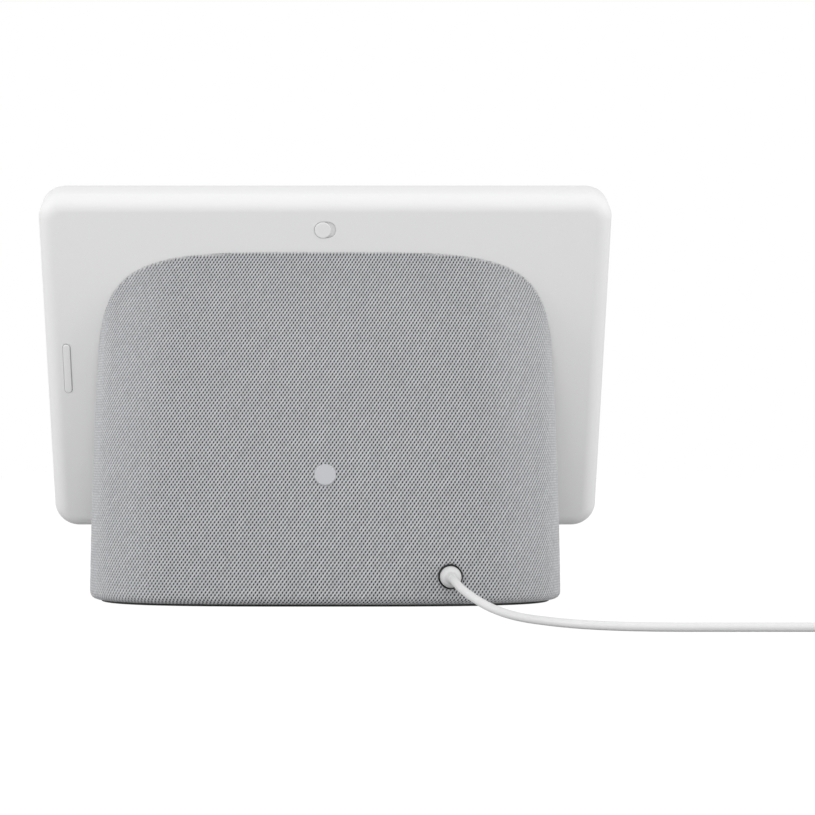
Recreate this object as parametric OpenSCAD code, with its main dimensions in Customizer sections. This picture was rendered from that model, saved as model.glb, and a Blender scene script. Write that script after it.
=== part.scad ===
// Smart display: a leaning touch screen on a knitted speaker base, with its mains adapter.
// Millimetres. +Z is up, the screen faces -Y, and the origin is on the table
// below the middle of the object. Where a module works on the display, x runs across,
// y runs from the glass to the back and z runs up the leaning face.

/* [Display] */
// Width of the display
display_w = 250; // [248:1:252]
// Height of the display along its own face
display_h = 160; // [158:1:162]
// Thickness of the display
display_t = 18; // [18:0.5:19]
// Lean of the display back from upright, in degrees
tilt = 24; // [23:0.5:25]
// Height of the middle of the lower edge above the table
display_lift = 33.1; // [32.6:0.1:34]
// Corner radius seen from the front
corner_r = 11; // [10:0.5:12]
// Radius of the roll around the rear edge
roll_r = 7; // [6.5:0.5:7.5]
// Wall of the rear shell
shell_wall = 2; // [1.8:0.1:2.2]
// Thickness of the cover glass
glass_t = 1.3; // [1:0.1:1.3]
// Width of the screen module behind the glass
lcd_w = 226; // [222:1:228]
// Height of the screen module behind the glass
lcd_h = 143; // [140:1:143]

/* [Controls] */
// Height of the microphone switch up the display
mute_s = 145; // [143:0.5:146]
// Diameter of the microphone switch's knob
mute_d = 7.2; // [7:0.1:7.2]
// Travel of the microphone switch
mute_travel = 2; // [1.6:0.1:2]
// Distance of the volume rocker from the middle
rocker_x = 115.2; // [114:0.2:115.4]
// Height of the middle of the volume rocker up the display
rocker_s = 80.5; // [78:0.5:90]
// Length of the volume rocker
rocker_len = 23.2; // [22:0.2:24]
// Width of the volume rocker
rocker_w = 3.2; // [3:0.1:3.3]
// How far both controls stand proud of the back
control_proud = 0.5; // [0.3:0.1:0.7]

/* [Speaker base] */
// Width of the base at the table
base_w = 208.6; // [207:0.2:211]
// Y of the back of the base at the table
base_rear_y = 51.2; // [50.8:0.2:52]
// Y of the front of the base
base_front_y = -38; // [-39:0.5:-37]
// Radius of the lower edge of the fabric
base_edge_r = 3; // [2.5:0.5:3.5]
// Height of the fabric's lower edge above the table
base_gap = 1.2; // [1:0.1:1.4]
// Thickness of the knitted fabric
fabric_t = 1.2; // [1:0.1:1.3]
// Thickness of the hard carrier under the fabric
carrier_t = 2.5; // [2:0.1:2.6]
// Diameter of the plain disc on the back
badge_d = 9.3; // [8:0.1:10]
// Height of the disc above the table
badge_z = 56; // [50:1:60]
// Points around the base
base_points = 64; // [48:8:64]

/* [Speakers] */
// Outer diameter of the woofer's flange
woofer_d = 76; // [74:1:77]
// Outer diameter of a tweeter's flange
tweeter_d = 20; // [18:1:21]
// Distance of a tweeter from the middle
tweeter_x = 78; // [76:1:79]

/* [Power] */
// X of the power inlet
inlet_x = -53; // [-54:0.5:-52]
// Height of the power inlet above the table
inlet_z = 13; // [12.5:0.5:13.5]
// Diameter of the lead
lead_d = 3.5; // [3.4:0.1:3.6]
// Width and depth of the mains adapter
adapter_w = 48; // [44:1:48]
// Thickness of the mains adapter
adapter_t = 27; // [25:1:30]

/* [Hidden] */
$fn = 64;
half_t = display_t / 2;
// Y of the middle of the display's lower edge, so that the front is as far out as the back
display_y = -43;
rim_w = 1.4;
rim_back = 0.4;
cavity_inset = 2.2;
glass_y = -half_t + glass_t;
lcd_t = 2.4;
tray_t = 2.7;
lcd_s = 7;
lcd_back = glass_y + lcd_t;
tray_back = lcd_back + tray_t;
frame_plate_t = 1.2;
frame_back = tray_back + frame_plate_t;
inner_back = half_t - shell_wall;
sensor_s = 154;
mic_x = 60;
light_x = 14;
board_t = 0.8;
knob_y = inner_back - 0.1;
pivot_y = 5;
// The joint between the display and the base
neck_s = 85;
neck_w = 128;
neck_h = 54;
boss_x = 50;
boss_ds = 19;
boss_r = 5;
screw_x = 57;
screw_ds = 22;
neck_gap = 1;
neck_t = 2.5;
neck_back = half_t + neck_gap + neck_t;
post_x = 40;
post_ds = 15;
main_board_y = half_t + neck_gap + 5;
main_board_t = 1.6;
shield_y = main_board_y + main_board_t;
shield_t = 2.4;
// The slot that the display's cable passes through
flex_half_w = 22;
flex_low = neck_s - 1;
flex_high = neck_s + 11;
// The base is lofted to above the display's back, then cut clear of the display
base_top = 165;
display_gap = 0.3;
carrier_z = base_gap + fabric_t + 0.1;
carrier_off = fabric_t + 0.1;
// The fabric is tucked under by tuck_w; the carrier's rim and the plate lie inside it
underside_z = 20;
tuck_w = 11;
carrier_rim_w = 12;
plate_inset = 12.4;
foot_inset = 4.5;
tweeter_z = 17;
// The woofer's baffle leans with the back of the base
baffle_lean = 7.5;
baffle_y = 37.8;
baffle_z = 6;
baffle_h = 86;
baffle_t = 3;
box_half_w = 44;
box_wall = 2.5;
woofer_v = 41;
woofer_bore_r = 33.2;
// Side outline of the box: its back follows the baffle, its front the leaning display
box_back_low = [baffle_y - baffle_t * cos(baffle_lean), baffle_z - baffle_t * sin(baffle_lean)];
box_back_high = box_back_low + baffle_h * [-sin(baffle_lean), cos(baffle_lean)];
box_outline = [box_back_low, box_back_high, [12, box_back_high.y], [7, 79], [-5, 76], [-15, 61],
    [-26, 26], [-26, box_back_low.y]];
// Base plate and foot
foot_t = 1.2;
plate_t = 2.4;
// Inlet and plug
inlet_hole_r = 5.3;
jack_back = 41.5;
boot_len = 20.3;
boot_end = 62;
plug_r = 2.75;
// Adapter and coil
coil_x = -222;
coil_y = 138;
coil_mid_r = 20;
coil_w = 10.5;
coil_h = 13.5;
coil_lift = 0.5;
adapter_x = -244;
adapter_y = 84;
tie_angle = 45;
tie_w = 6;
relief_len = 10;
adapter_face = adapter_y + adapter_w / 2;
// The lead's route from the plug to the coil
LEAD_ROUTE = [
    [-53, 62, 13], [-53, 68, 13], [-53.5, 75, 12.4], [-55, 82, 10.8], [-57.5, 89, 8.8],
    [-61, 96, 6.6], [-65, 103, 4.6], [-69.5, 110, 3.1], [-74, 117.5, 2.2], [-78.5, 125, 1.8],
    [-83, 133, 1.75], [-88, 141, 1.75], [-94, 148, 1.75], [-101, 153.5, 1.75],
    [-109, 157.5, 1.75], [-118, 160, 1.75], [-128, 161.3, 1.75], [-138, 161.5, 1.75],
    [-148, 161.5, 1.75], [-158, 161.5, 1.75], [-168, 161.5, 1.75], [-178, 161.5, 1.75],
    [-188, 161.5, 1.75], [-198, 161.5, 1.75], [-205, 161.5, 1.75], [-212, 161.5, 1.75]];
// The lead's route from the coil to the adapter
TAIL_ROUTE = [
    [-245.5, 128, 12.25], [-245.4, 125, 12.3], [-245.1, 122, 12.45], [-245, 119.5, 12.5],
    [-245, 118, 12.5]];

// ---------- helpers ----------

module on_display() {
    translate([0, display_y, display_lift])
        rotate([-tilt, 0, 0])
            children();
}

module on_baffle() {
    translate([0, baffle_y, baffle_z])
        rotate([baffle_lean, 0, 0])
            children();
}

// Turns a shape built along +Z so that it points along +Y
module along_y() {
    rotate([-90, 0, 0])
        children();
}

module rounded_rect(w, h, r) {
    square([w - 2 * r, h], center = true);
    square([w, h - 2 * r], center = true);
    for (x = [-1, 1], y = [-1, 1])
        translate([x * (w / 2 - r), y * (h / 2 - r)])
            circle(r = r);
}

// A flat plate on the display, from y0 to y1, centred on s
module plate(w, h, r, y0, y1, s) {
    translate([0, y1, s])
        rotate([90, 0, 0])
            linear_extrude(height = y1 - y0)
                rounded_rect(w, h, r);
}

module stadium(len, w) {
    for (s = [-1, 1])
        translate([s * (len - w) / 2, 0])
            circle(d = w);
    square([len - w, w], center = true);
}

module box(x0, x1, y0, y1, z0, z1) {
    translate([x0, y0, z0])
        cube([x1 - x0, y1 - y0, z1 - z0]);
}

module rod_y(r, y0, y1) {
    translate([0, y0, 0])
        along_y()
            cylinder(r = r, h = y1 - y0);
}

// ---------- base form ----------

function rear_y(z) = base_rear_y - 0.14 * z - 0.0004 * z * z;
function half_w(z) = base_w / 2 - 0.00023 * z * z;
function mid_y(z) = -8 - 0.16 * z + 0.0007 * z * z;
function roundness(z) = 3.3 + 0.0057 * z;
function signed_pow(v, p) = sign(v) * pow(abs(v), p);

// How far the lower edge is rolled in at height z
function edge_inset(z) = let (d = z - base_gap)
    d < base_edge_r ? base_edge_r - sqrt(pow(base_edge_r, 2) - pow(base_edge_r - d, 2)) : 0;

// One level outline of the base, shrunk by off
function section(z, off) = let (inset = off + edge_inset(z), p = 2 / roundness(z))
    [for (i = [0 : base_points - 1]) let (a = 360 * i / base_points, s = sin(a))
        [(half_w(z) - inset) * signed_pow(cos(a), p),
         mid_y(z) + ((s > 0 ? rear_y(z) - mid_y(z) : mid_y(z) - base_front_y) - inset)
            * signed_pow(s, p)]];

function levels(z0) = concat(
    [for (a = [0 : 22.5 : 67.5]) z0 + base_edge_r * (1 - cos(a))],
    [for (k = [0 : 11]) z0 + base_edge_r + k * (base_top - z0 - base_edge_r) / 11]);

function loft_points(zs, off) = [for (z = zs) for (p = section(z, off)) [p.x, p.y, z]];

function loft_faces(rows) = let (n = base_points) concat(
    [[for (i = [0 : n - 1]) i]],
    [for (k = [0 : rows - 2]) for (i = [0 : n - 1]) let (j = (i + 1) % n)
        [k * n + i, (k + 1) * n + i, (k + 1) * n + j, k * n + j]],
    [[for (i = [n - 1 : -1 : 0]) (rows - 1) * n + i]]);

module loft(z0, off) {
    zs = levels(z0);
    polyhedron(points = loft_points(zs, off), faces = loft_faces(len(zs)));
}

// The room that the display takes: all that is in front of its back and above its lower edge
module display_room(gap) {
    on_display()
        box(-200, 200, -200, half_t + gap, -gap, 300);
}

function wall_lean(z) = atan(0.14 + 0.0008 * z);

module on_back_wall(z) {
    translate([0, rear_y(z), z])
        rotate([wall_lean(z), 0, 0])
            children();
}

// ---------- display ----------

module cover_glass() color([0.06, 0.06, 0.07]) on_display()
    difference() {
        plate(display_w - 2 * rim_w, display_h - 2 * rim_w, corner_r - rim_w,
            -half_t, glass_y, display_h / 2);
        for (x = [-mic_x, mic_x])
            translate([x, 0, sensor_s + 1])
                rod_y(0.5, -half_t - 1, glass_y + 1);
    }

module lcd_panel() color([0.12, 0.14, 0.18]) on_display()
    plate(lcd_w, lcd_h, 1.5, glass_y, lcd_back, lcd_s + lcd_h / 2);

module backlight_tray() color("silver") on_display()
    plate(lcd_w, lcd_h, 1.5, lcd_back, tray_back, lcd_s + lcd_h / 2);

module display_frame() color([0.25, 0.26, 0.28]) on_display()
    difference() {
        plate(display_w - 2 * cavity_inset - 0.6, display_h - 2 * cavity_inset - 0.6,
            corner_r - cavity_inset - 0.3, glass_y, frame_back, display_h / 2);
        plate(lcd_w + 1, lcd_h + 1, 1.8, glass_y - 1, tray_back, lcd_s + lcd_h / 2);
        box(-3, 3, glass_y - 1, frame_back + 1, sensor_s - 3, sensor_s + 3);
        for (x = [-mic_x, mic_x]) {
            translate([x, 0, sensor_s + 1])
                rod_y(0.8, glass_y - 1, frame_back);
            box(x - 2.2, x + 2.2, tray_back, frame_back + 1, sensor_s - 2, sensor_s + 3);
        }
        translate([light_x, 0, sensor_s])
            rod_y(1.2, glass_y - 1, frame_back);
        box(light_x - 2, light_x + 2, tray_back, frame_back + 1, sensor_s - 2, sensor_s + 2);
        for (x = [-screw_x, screw_x], s = [-screw_ds, screw_ds])
            translate([x, 0, neck_s + s])
                rod_y(1.25, tray_back - 1, frame_back + 1);
    }

// A pillow-edged slab: flat back, rolled rear edge
module pillow(w, h, r, roll, y0, y1, edge) {
    hull()
        for (x = [-1, 1], s = [-1, 1])
            translate([x * (w / 2 - r), 0, h / 2 * (1 + s) - s * r + (display_h - h) / 2])
                along_y()
                    rotate_extrude($fn = 40)
                        polygon(concat(
                            [[0, y0], [r - edge, y0], [r, y0 + edge]],
                            [for (a = [0 : 10 : 90]) [r - roll + roll * cos(a),
                                y1 - roll + roll * sin(a)]],
                            [[0, y1]]));
}

module display_shell() color([0.87, 0.87, 0.87]) on_display()
    difference() {
        pillow(display_w, display_h, corner_r, roll_r, -half_t + rim_back, half_t, 0.5);
        pillow(display_w - 2 * cavity_inset, display_h - 2 * cavity_inset, corner_r - cavity_inset,
            roll_r - shell_wall, glass_y - 0.1, inner_back, 0);
        plate(display_w - 2 * rim_w + 0.3, display_h - 2 * rim_w + 0.3, corner_r - rim_w + 0.15,
            -half_t - 1, glass_y, display_h / 2);
        translate([0, half_t + 1, mute_s])
            rotate([90, 0, 0])
                linear_extrude(height = shell_wall + 2)
                    stadium(mute_d + mute_travel + 0.3, mute_d + 0.3);
        translate([rocker_x, half_t + 1, rocker_s])
            rotate([90, 90, 0])
                linear_extrude(height = shell_wall + 2)
                    stadium(rocker_len + 0.6, rocker_w + 0.5);
        for (x = [-boss_x, boss_x], s = [-boss_ds, boss_ds])
            translate([x, 0, neck_s + s])
                rod_y(boss_r + 0.3, inner_back - 1, half_t + 1);
        box(-flex_half_w, flex_half_w, inner_back - 1, half_t + 1, flex_low, flex_high);
    }

module sensor_board() color("darkgreen") on_display()
    box(-mic_x - 6, mic_x + 6, frame_back + 0.1, frame_back + 0.1 + board_t,
        sensor_s - 2.5, sensor_s + 2.8);

module camera_module() color([0.15, 0.15, 0.16]) on_display()
    box(-2.8, 2.8, -5, frame_back + 0.1, sensor_s - 2.8, sensor_s + 2.8);

module camera_lens() color([0.05, 0.05, 0.09]) on_display()
    translate([0, 0, sensor_s])
        rod_y(2.4, glass_y + 0.1, -5);

module microphones() color("goldenrod") on_display()
    for (x = [-mic_x, mic_x])
        box(x - 1.8, x + 1.8, tray_back + 0.1, frame_back + 0.1, sensor_s - 1.5, sensor_s + 2.2);

module light_sensor() color([0.2, 0.2, 0.22]) on_display()
    box(light_x - 1.5, light_x + 1.5, tray_back + 0.2, frame_back + 0.1, sensor_s - 1, sensor_s + 1);

// ---------- microphone switch ----------

module mute_knob() color([0.9, 0.9, 0.9]) on_display()
    translate([mute_travel / 2, 0, mute_s])
        difference() {
            union() {
                rod_y(mute_d / 2, knob_y - 0.5, half_t + control_proud - 0.3);
                rod_y(mute_d / 2 - 0.3, half_t, half_t + control_proud);
                box(-7, 7, knob_y - 1, knob_y, -5, 5);
                box(-2, 2, 3.4, knob_y - 0.5, -2, 2);
            }
            box(-0.9, 0.9, 3, 5.2, -0.8, 0.8);
        }

module mute_lever() color([0.2, 0.2, 0.2]) on_display()
    translate([mute_travel / 2, 0, mute_s])
        box(-0.8, 0.8, 2.1, 5, -0.7, 0.7);

module mute_switch() color("gainsboro") on_display()
    translate([0, 0, mute_s])
        difference() {
            union() {
                box(-9, 9, 0, board_t, -4, 4);
                box(-4.5, 4.5, board_t, 3.2, -2.5, 2.5);
            }
            box(-2.2, 2.2, 2, 4, -0.8, 0.8);
        }

// ---------- volume rocker ----------

module volume_rocker() color([0.9, 0.9, 0.9]) on_display()
    translate([rocker_x, 0, rocker_s]) {
        translate([0, half_t + control_proud, 0])
            rotate([90, 90, 0])
                linear_extrude(height = control_proud + 3)
                    stadium(rocker_len, rocker_w);
        box(-2.7, 2.7, 5.7, 6.6, -10, 10);
        box(-1.6, 1.6, 4.2, 6.4, -1.5, 1.5);
        translate([-3.9, pivot_y, 0])
            rotate([0, 90, 0])
                cylinder(r = 0.8, h = 7.8);
        for (s = [-8, 8])
            translate([0, 0, s])
                rod_y(0.8, 3.4, 6.2);
    }

module rocker_bracket() color("silver") on_display()
    translate([rocker_x, 0, rocker_s])
        difference() {
            union() {
                box(-4, 4, 2, 2.8, -3, 3);
                for (x = [-4, 3.1])
                    box(x, x + 0.9, 2, 6.2, -2, 2);
            }
            translate([-5, pivot_y, 0])
                rotate([0, 90, 0])
                    cylinder(r = 0.9, h = 10);
        }

module volume_board() color("darkgreen") on_display()
    translate([rocker_x, 0, rocker_s]) {
        box(-5, 5, 2 - board_t, 2, -14, 14);
        for (s = [-8, 8])
            translate([0, 0, s])
                rod_y(2, 2, 2.9);
    }

module antennas() color("sandybrown") on_display()
    for (x = [-90, 90])
        box(x - 20, x + 20, inner_back - 0.5, inner_back - 0.1, 128, 140);

// ---------- joint between display and base ----------

module neck_bracket() color("gray") on_display()
    difference() {
        union() {
            plate(neck_w - 4, neck_h, 4, 1, 4, neck_s);
            for (x = [-boss_x, boss_x], s = [-boss_ds, boss_ds])
                translate([x, 0, neck_s + s])
                    rod_y(boss_r, 4, half_t + neck_gap);
            for (x = [-screw_x, screw_x], s = [-screw_ds, screw_ds])
                translate([x, 0, neck_s + s])
                    rod_y(3, frame_back, 1);
        }
        for (x = [-boss_x, boss_x], s = [-boss_ds, boss_ds])
            translate([x, 0, neck_s + s])
                rod_y(1.95, 0, half_t + neck_gap + 1);
        for (x = [-screw_x, screw_x], s = [-screw_ds, screw_ds])
            translate([x, 0, neck_s + s])
                rod_y(1.25, frame_back - 1, 5);
        box(-flex_half_w, flex_half_w, 0, 5, flex_low, flex_high);
    }

module screw(shank_r, head_r, tip, seat, head_h) {
    rod_y(shank_r, tip, seat);
    rod_y(head_r, seat, seat + head_h);
}

module neck_screws() color("dimgray") on_display()
    for (x = [-boss_x, boss_x], s = [-boss_ds, boss_ds])
        translate([x, 0, neck_s + s])
            screw(1.9, 3.2, 4.5, neck_back, 2);

module display_screws() color("dimgray") on_display()
    for (x = [-screw_x, screw_x], s = [-screw_ds, screw_ds])
        translate([x, 0, neck_s + s])
            screw(1.2, 2.2, tray_back + 0.2, 4, 1.5);

module neck_frame() color([0.3, 0.3, 0.32]) on_display()
    difference() {
        union() {
            plate(neck_w, neck_h, 4, half_t + neck_gap, neck_back, neck_s);
            for (x = [-post_x, post_x], s = [-post_ds, post_ds])
                translate([x, 0, neck_s + s])
                    rod_y(2.5, neck_back, main_board_y);
        }
        for (x = [-boss_x, boss_x], s = [-boss_ds, boss_ds])
            translate([x, 0, neck_s + s])
                rod_y(2, half_t, neck_back + 1);
        for (x = [-post_x, post_x], s = [-post_ds, post_ds])
            translate([x, 0, neck_s + s])
                rod_y(1.05, half_t, main_board_y + 1);
        box(-flex_half_w, flex_half_w, half_t, neck_back + 1, flex_low, flex_high);
    }

module display_flex() color("darkorange") on_display() {
    box(-18, 18, frame_back, frame_back + 0.3, neck_s - 25, neck_s + 5.3);
    box(-18, 18, frame_back, main_board_y - 0.1, neck_s + 5, neck_s + 5.3);
}

module main_board() color("darkgreen") on_display()
    difference() {
        union() {
            box(-44, 44, main_board_y, main_board_y + main_board_t, neck_s - 19, neck_s + 19);
            box(-22, -8, main_board_y + main_board_t, main_board_y + main_board_t + 1.2,
                neck_s - 7, neck_s + 7);
            for (x = [2, 14])
                box(x, x + 10, main_board_y + main_board_t, main_board_y + main_board_t + 1,
                    neck_s - 6, neck_s + 6);
            box(-20, 20, main_board_y + main_board_t, main_board_y + main_board_t + 1.5,
                neck_s - 18, neck_s - 15);
        }
        for (x = [-post_x, post_x], s = [-post_ds, post_ds])
            translate([x, 0, neck_s + s])
                rod_y(1.1, main_board_y - 1, main_board_y + 3);
    }

module board_shield() color("silver") on_display()
    difference() {
        box(-30, 30, shield_y, shield_y + shield_t, neck_s - 13, neck_s + 13);
        box(-29.6, 29.6, shield_y - 1, shield_y + shield_t - 0.4, neck_s - 12.6, neck_s + 12.6);
    }

module heat_spreader() color([0.75, 0.76, 0.78]) on_display()
    plate(68, 34, 2, shield_y + shield_t, shield_y + shield_t + 2, neck_s);

module board_screws() color("dimgray") on_display()
    for (x = [-post_x, post_x], s = [-post_ds, post_ds])
        translate([x, 0, neck_s + s])
            screw(1, 2, half_t + neck_gap + 0.5, shield_y, 1.4);

// ---------- base ----------

module fabric_sleeve() color([0.67, 0.68, 0.69])
    difference() {
        loft(base_gap, 0);
        loft(base_gap + fabric_t, fabric_t);
        translate([0, 0, -1])
            linear_extrude(height = 6)
                polygon(section(underside_z, tuck_w));
        display_room(display_gap);
        translate([inlet_x, 0, inlet_z])
            rod_y(inlet_hole_r, 20, 60);
        on_back_wall(badge_z)
            rod_y(badge_d / 2 + 0.1, -4, 4);
    }

module fabric_carrier() color([0.35, 0.36, 0.38])
    difference() {
        loft(carrier_z, carrier_off);
        difference() {
            loft(carrier_z + carrier_t, carrier_off + carrier_t);
            display_room(display_gap + carrier_t);
        }
        display_room(display_gap);
        translate([0, 0, -1])
            linear_extrude(height = 8)
                polygon(section(underside_z, carrier_rim_w));
        on_display()
            plate(neck_w + 1, neck_h + 1, 4.5, half_t, half_t + 4, neck_s);
        translate([inlet_x, 0, inlet_z])
            rod_y(inlet_hole_r, 20, 60);
        for (x = [-24 : 8 : 24])
            box(x - 2, x + 2, 20, 70, 22, 74);
        for (x = [-tweeter_x, tweeter_x])
            translate([x, 0, tweeter_z])
                rod_y(7, -60, -18);
    }

module rear_badge() color([0.82, 0.82, 0.82]) on_back_wall(badge_z) {
    rod_y(badge_d / 2, -fabric_t + 0.05, 0.3);
    rod_y(badge_d / 2 - 0.2, 0.3, 0.5);
}

module speaker_box() color([0.2, 0.2, 0.21])
    difference() {
        translate([-box_half_w, 0, 0])
            rotate([90, 0, 90])
                linear_extrude(height = 2 * box_half_w)
                    polygon(box_outline);
        for (dy = [0, 5])
            translate([-box_half_w + box_wall, dy, 0])
                rotate([90, 0, 90])
                    linear_extrude(height = 2 * (box_half_w - box_wall))
                        offset(delta = -box_wall)
                            polygon(box_outline);
    }

module woofer_baffle() color([0.22, 0.22, 0.23]) on_baffle()
    difference() {
        box(-box_half_w, box_half_w, -baffle_t, 0, 0, baffle_h);
        translate([0, 0, woofer_v])
            rod_y(woofer_bore_r, -baffle_t - 1, 1);
    }

module on_woofer() {
    on_baffle()
        translate([0, 0, woofer_v])
            along_y()
                children();
}

// The woofer's parts are turned about its axis; height 0 is the baffle's outer face
module woofer_basket() color([0.12, 0.12, 0.13]) on_woofer()
    difference() {
        rotate_extrude()
            polygon([[33.2, 0], [woofer_d / 2, 0], [woofer_d / 2, 2], [32, 2], [32, -0.5],
                [21, -15], [12.5, -15], [12.5, -16.5], [22, -16.5], [33, -1]]);
        for (a = [0 : 60 : 300])
            rotate([0, 0, a])
                translate([27, 0, -9])
                    cube([14, 13, 9], center = true);
    }

module woofer_magnet() color([0.28, 0.28, 0.3]) on_woofer()
    rotate_extrude()
        polygon([[0, -34], [22, -34], [22, -16.5], [10.6, -16.5], [10.6, -30], [9, -30],
            [9, -16.5], [0, -16.5]]);

module woofer_surround() color([0.1, 0.1, 0.1]) on_woofer()
    rotate_extrude()
        translate([29.4, 1.1])
            difference() {
                circle(r = 2.5, $fn = 40);
                circle(r = 1.8, $fn = 40);
                translate([-3, -3])
                    square([6, 3]);
            }

module woofer_cone() color([0.16, 0.16, 0.17]) on_woofer()
    rotate_extrude()
        polygon([[0, -4.4], [6, -5.6], [11, -8], [12.5, -8.6], [26.5, -1.4], [26.5, -0.4],
            [12, -7.6], [6, -4.6], [0, -3.4]]);

module woofer_coil() color([0.72, 0.45, 0.2]) on_woofer()
    rotate_extrude()
        polygon([[9.3, -24], [10.2, -24], [10.2, -7.9], [9.3, -7.3]]);

module tweeter_frame(x) {
    translate([x, 0, tweeter_z])
        difference() {
            union() {
                rod_y(tweeter_d / 2, -25, -23.5);
                rod_y(tweeter_d / 2 - 1.5, -23.5, -13);
            }
            rod_y(7, -26, -19);
        }
}

module tweeter_dome(x) {
    translate([x, -24.6, tweeter_z])
        rotate([-90, 0, 0])
            rotate_extrude()
                polygon([[0, 0], [3, 0.5], [5.5, 2], [6.6, 3.2], [6.6, 3.7], [5, 2.4], [2.7, 1],
                    [0, 0.5]]);
}

module tweeter_left_frame() color([0.12, 0.12, 0.13]) tweeter_frame(-tweeter_x);
module tweeter_left_dome() color("silver") tweeter_dome(-tweeter_x);
module tweeter_right_frame() color([0.12, 0.12, 0.13]) tweeter_frame(tweeter_x);
module tweeter_right_dome() color("silver") tweeter_dome(tweeter_x);

function plate_screws() = [for (x = [-70, 70], y = [-16, 26]) [x, y]];

module base_plate() color([0.3, 0.3, 0.31])
    difference() {
        translate([0, 0, foot_t])
            linear_extrude(height = plate_t)
                polygon(section(underside_z, plate_inset));
        for (p = plate_screws())
            translate([p.x, p.y, 0])
                cylinder(r = 1.6, h = 10);
    }

module base_screws() color("dimgray")
    for (p = plate_screws())
        translate([p.x, p.y, 0]) {
            translate([0, 0, foot_t + plate_t])
                cylinder(r = 3, h = 1.4);
            translate([0, 0, foot_t + 0.2])
                cylinder(r = 1.5, h = plate_t);
        }

module rubber_foot() color([0.3, 0.3, 0.28])
    linear_extrude(height = foot_t)
        polygon(section(underside_z, foot_inset));

// ---------- power inlet, plug and lead ----------

module jack_board() color("darkgreen")
    box(inlet_x - 8, inlet_x + 8, 18, jack_back, 6, 7.5);

module dc_jack() color([0.1, 0.1, 0.1]) translate([inlet_x, 0, inlet_z])
    difference() {
        box(-6, 6, 27, jack_back, -5.5, 5.5);
        difference() {
            rod_y(2.95, 31, jack_back + 1);
            rod_y(1, 30, jack_back - 1);
        }
    }

module jack_ring() color([0.06, 0.06, 0.06]) translate([inlet_x, 0, inlet_z])
    difference() {
        rod_y(5.2, jack_back + 0.1, 47);
        rod_y(4.75, jack_back, 48);
    }

module dc_plug() color("gold") translate([inlet_x, 0, inlet_z])
    difference() {
        rod_y(plug_r, 32, jack_back + 1);
        rod_y(1.3, 31, jack_back);
    }

// The moulded grip: a cylinder that domes over and narrows to the lead
module plug_boot() color([0.93, 0.93, 0.93]) translate([inlet_x, 0, inlet_z])
    difference() {
        translate([0, boot_end - boot_len, 0])
            along_y()
                rotate_extrude()
                    polygon(concat([[0, 0], [4.5, 0]],
                        [for (a = [0 : 15 : 75]) [2.5 + 2 * cos(a), 10 + 3.5 * sin(a)]],
                        [[2.4, 14.5], [2.1, 17.5], [1.95, boot_len], [0, boot_len]]));
        rod_y(plug_r, jack_back, jack_back + 1);
    }

function unit(v) = v / norm(v);

// The direction of the route at point i
function heading(r, i) = unit(r[min(i + 1, len(r) - 1)] - r[max(i - 1, 0)]);

// One ring of the lead around point i
function ring(r, i, rad, n) = let (h = heading(r, i), side = unit(cross(h, [0, 0, 1])),
        up = cross(side, h))
    [for (k = [0 : n - 1]) r[i] + rad * (cos(360 * k / n) * side + sin(360 * k / n) * up)];

module tube(route, d, n = 8) {
    rows = len(route);
    points = [for (i = [0 : rows - 1]) for (p = ring(route, i, d / 2, n)) p];
    faces = concat(
        [[for (k = [n - 1 : -1 : 0]) k]],
        [for (i = [0 : rows - 2]) for (k = [0 : n - 1]) let (j = (k + 1) % n)
            [i * n + k, i * n + j, (i + 1) * n + j, (i + 1) * n + k]],
        [[for (k = [0 : n - 1]) (rows - 1) * n + k]]);
    polyhedron(points = points, faces = faces);
}

module cord_lead() color([0.93, 0.93, 0.93]) tube(LEAD_ROUTE, lead_d);
module cord_tail() color([0.93, 0.93, 0.93]) tube(TAIL_ROUTE, lead_d);

module cord_coil() color([0.93, 0.93, 0.93])
    translate([coil_x, coil_y, 0])
        rotate_extrude()
            translate([coil_mid_r, coil_lift + coil_h / 2])
                rounded_rect(coil_w, coil_h, 1.7);

module coil_tie() color([0.25, 0.25, 0.26])
    translate([coil_x, coil_y, 0])
        rotate([0, 0, tie_angle])
            translate([coil_mid_r, tie_w / 2, coil_lift + coil_h / 2])
                rotate([90, 0, 0])
                    linear_extrude(height = tie_w)
                        difference() {
                            rounded_rect(coil_w + 2, coil_h + 2 * coil_lift, 1.6);
                            rounded_rect(coil_w + 0.9, coil_h + 0.1, 1.2);
                        }

module power_adapter() color([0.93, 0.93, 0.93])
    translate([adapter_x, adapter_y, 0])
        hull()
            for (x = [-1, 1], y = [-1, 1])
                translate([x * (adapter_w / 2 - 10), y * (adapter_w / 2 - 10), 0])
                    rotate_extrude($fn = 32)
                        polygon(concat([[0, 0]],
                            [for (a = [-90 : 15 : 0]) [6 + 4 * cos(a), 4 + 4 * sin(a)]],
                            [for (a = [0 : 15 : 90]) [6 + 4 * cos(a), adapter_t - 4 + 4 * sin(a)]],
                            [[0, adapter_t]]));

module adapter_relief() color([0.93, 0.93, 0.93])
    translate([-245, adapter_face, 12.5])
        along_y()
            cylinder(r1 = 3.2, r2 = 2, h = relief_len);

module adapter_prongs() color("silver")
    for (x = [-6.35, 6.35])
        box(adapter_x + x - 0.75, adapter_x + x + 0.75, adapter_y - adapter_w / 2 - 17,
            adapter_y - adapter_w / 2, adapter_t / 2 - 3.2, adapter_t / 2 + 3.2);

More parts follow.
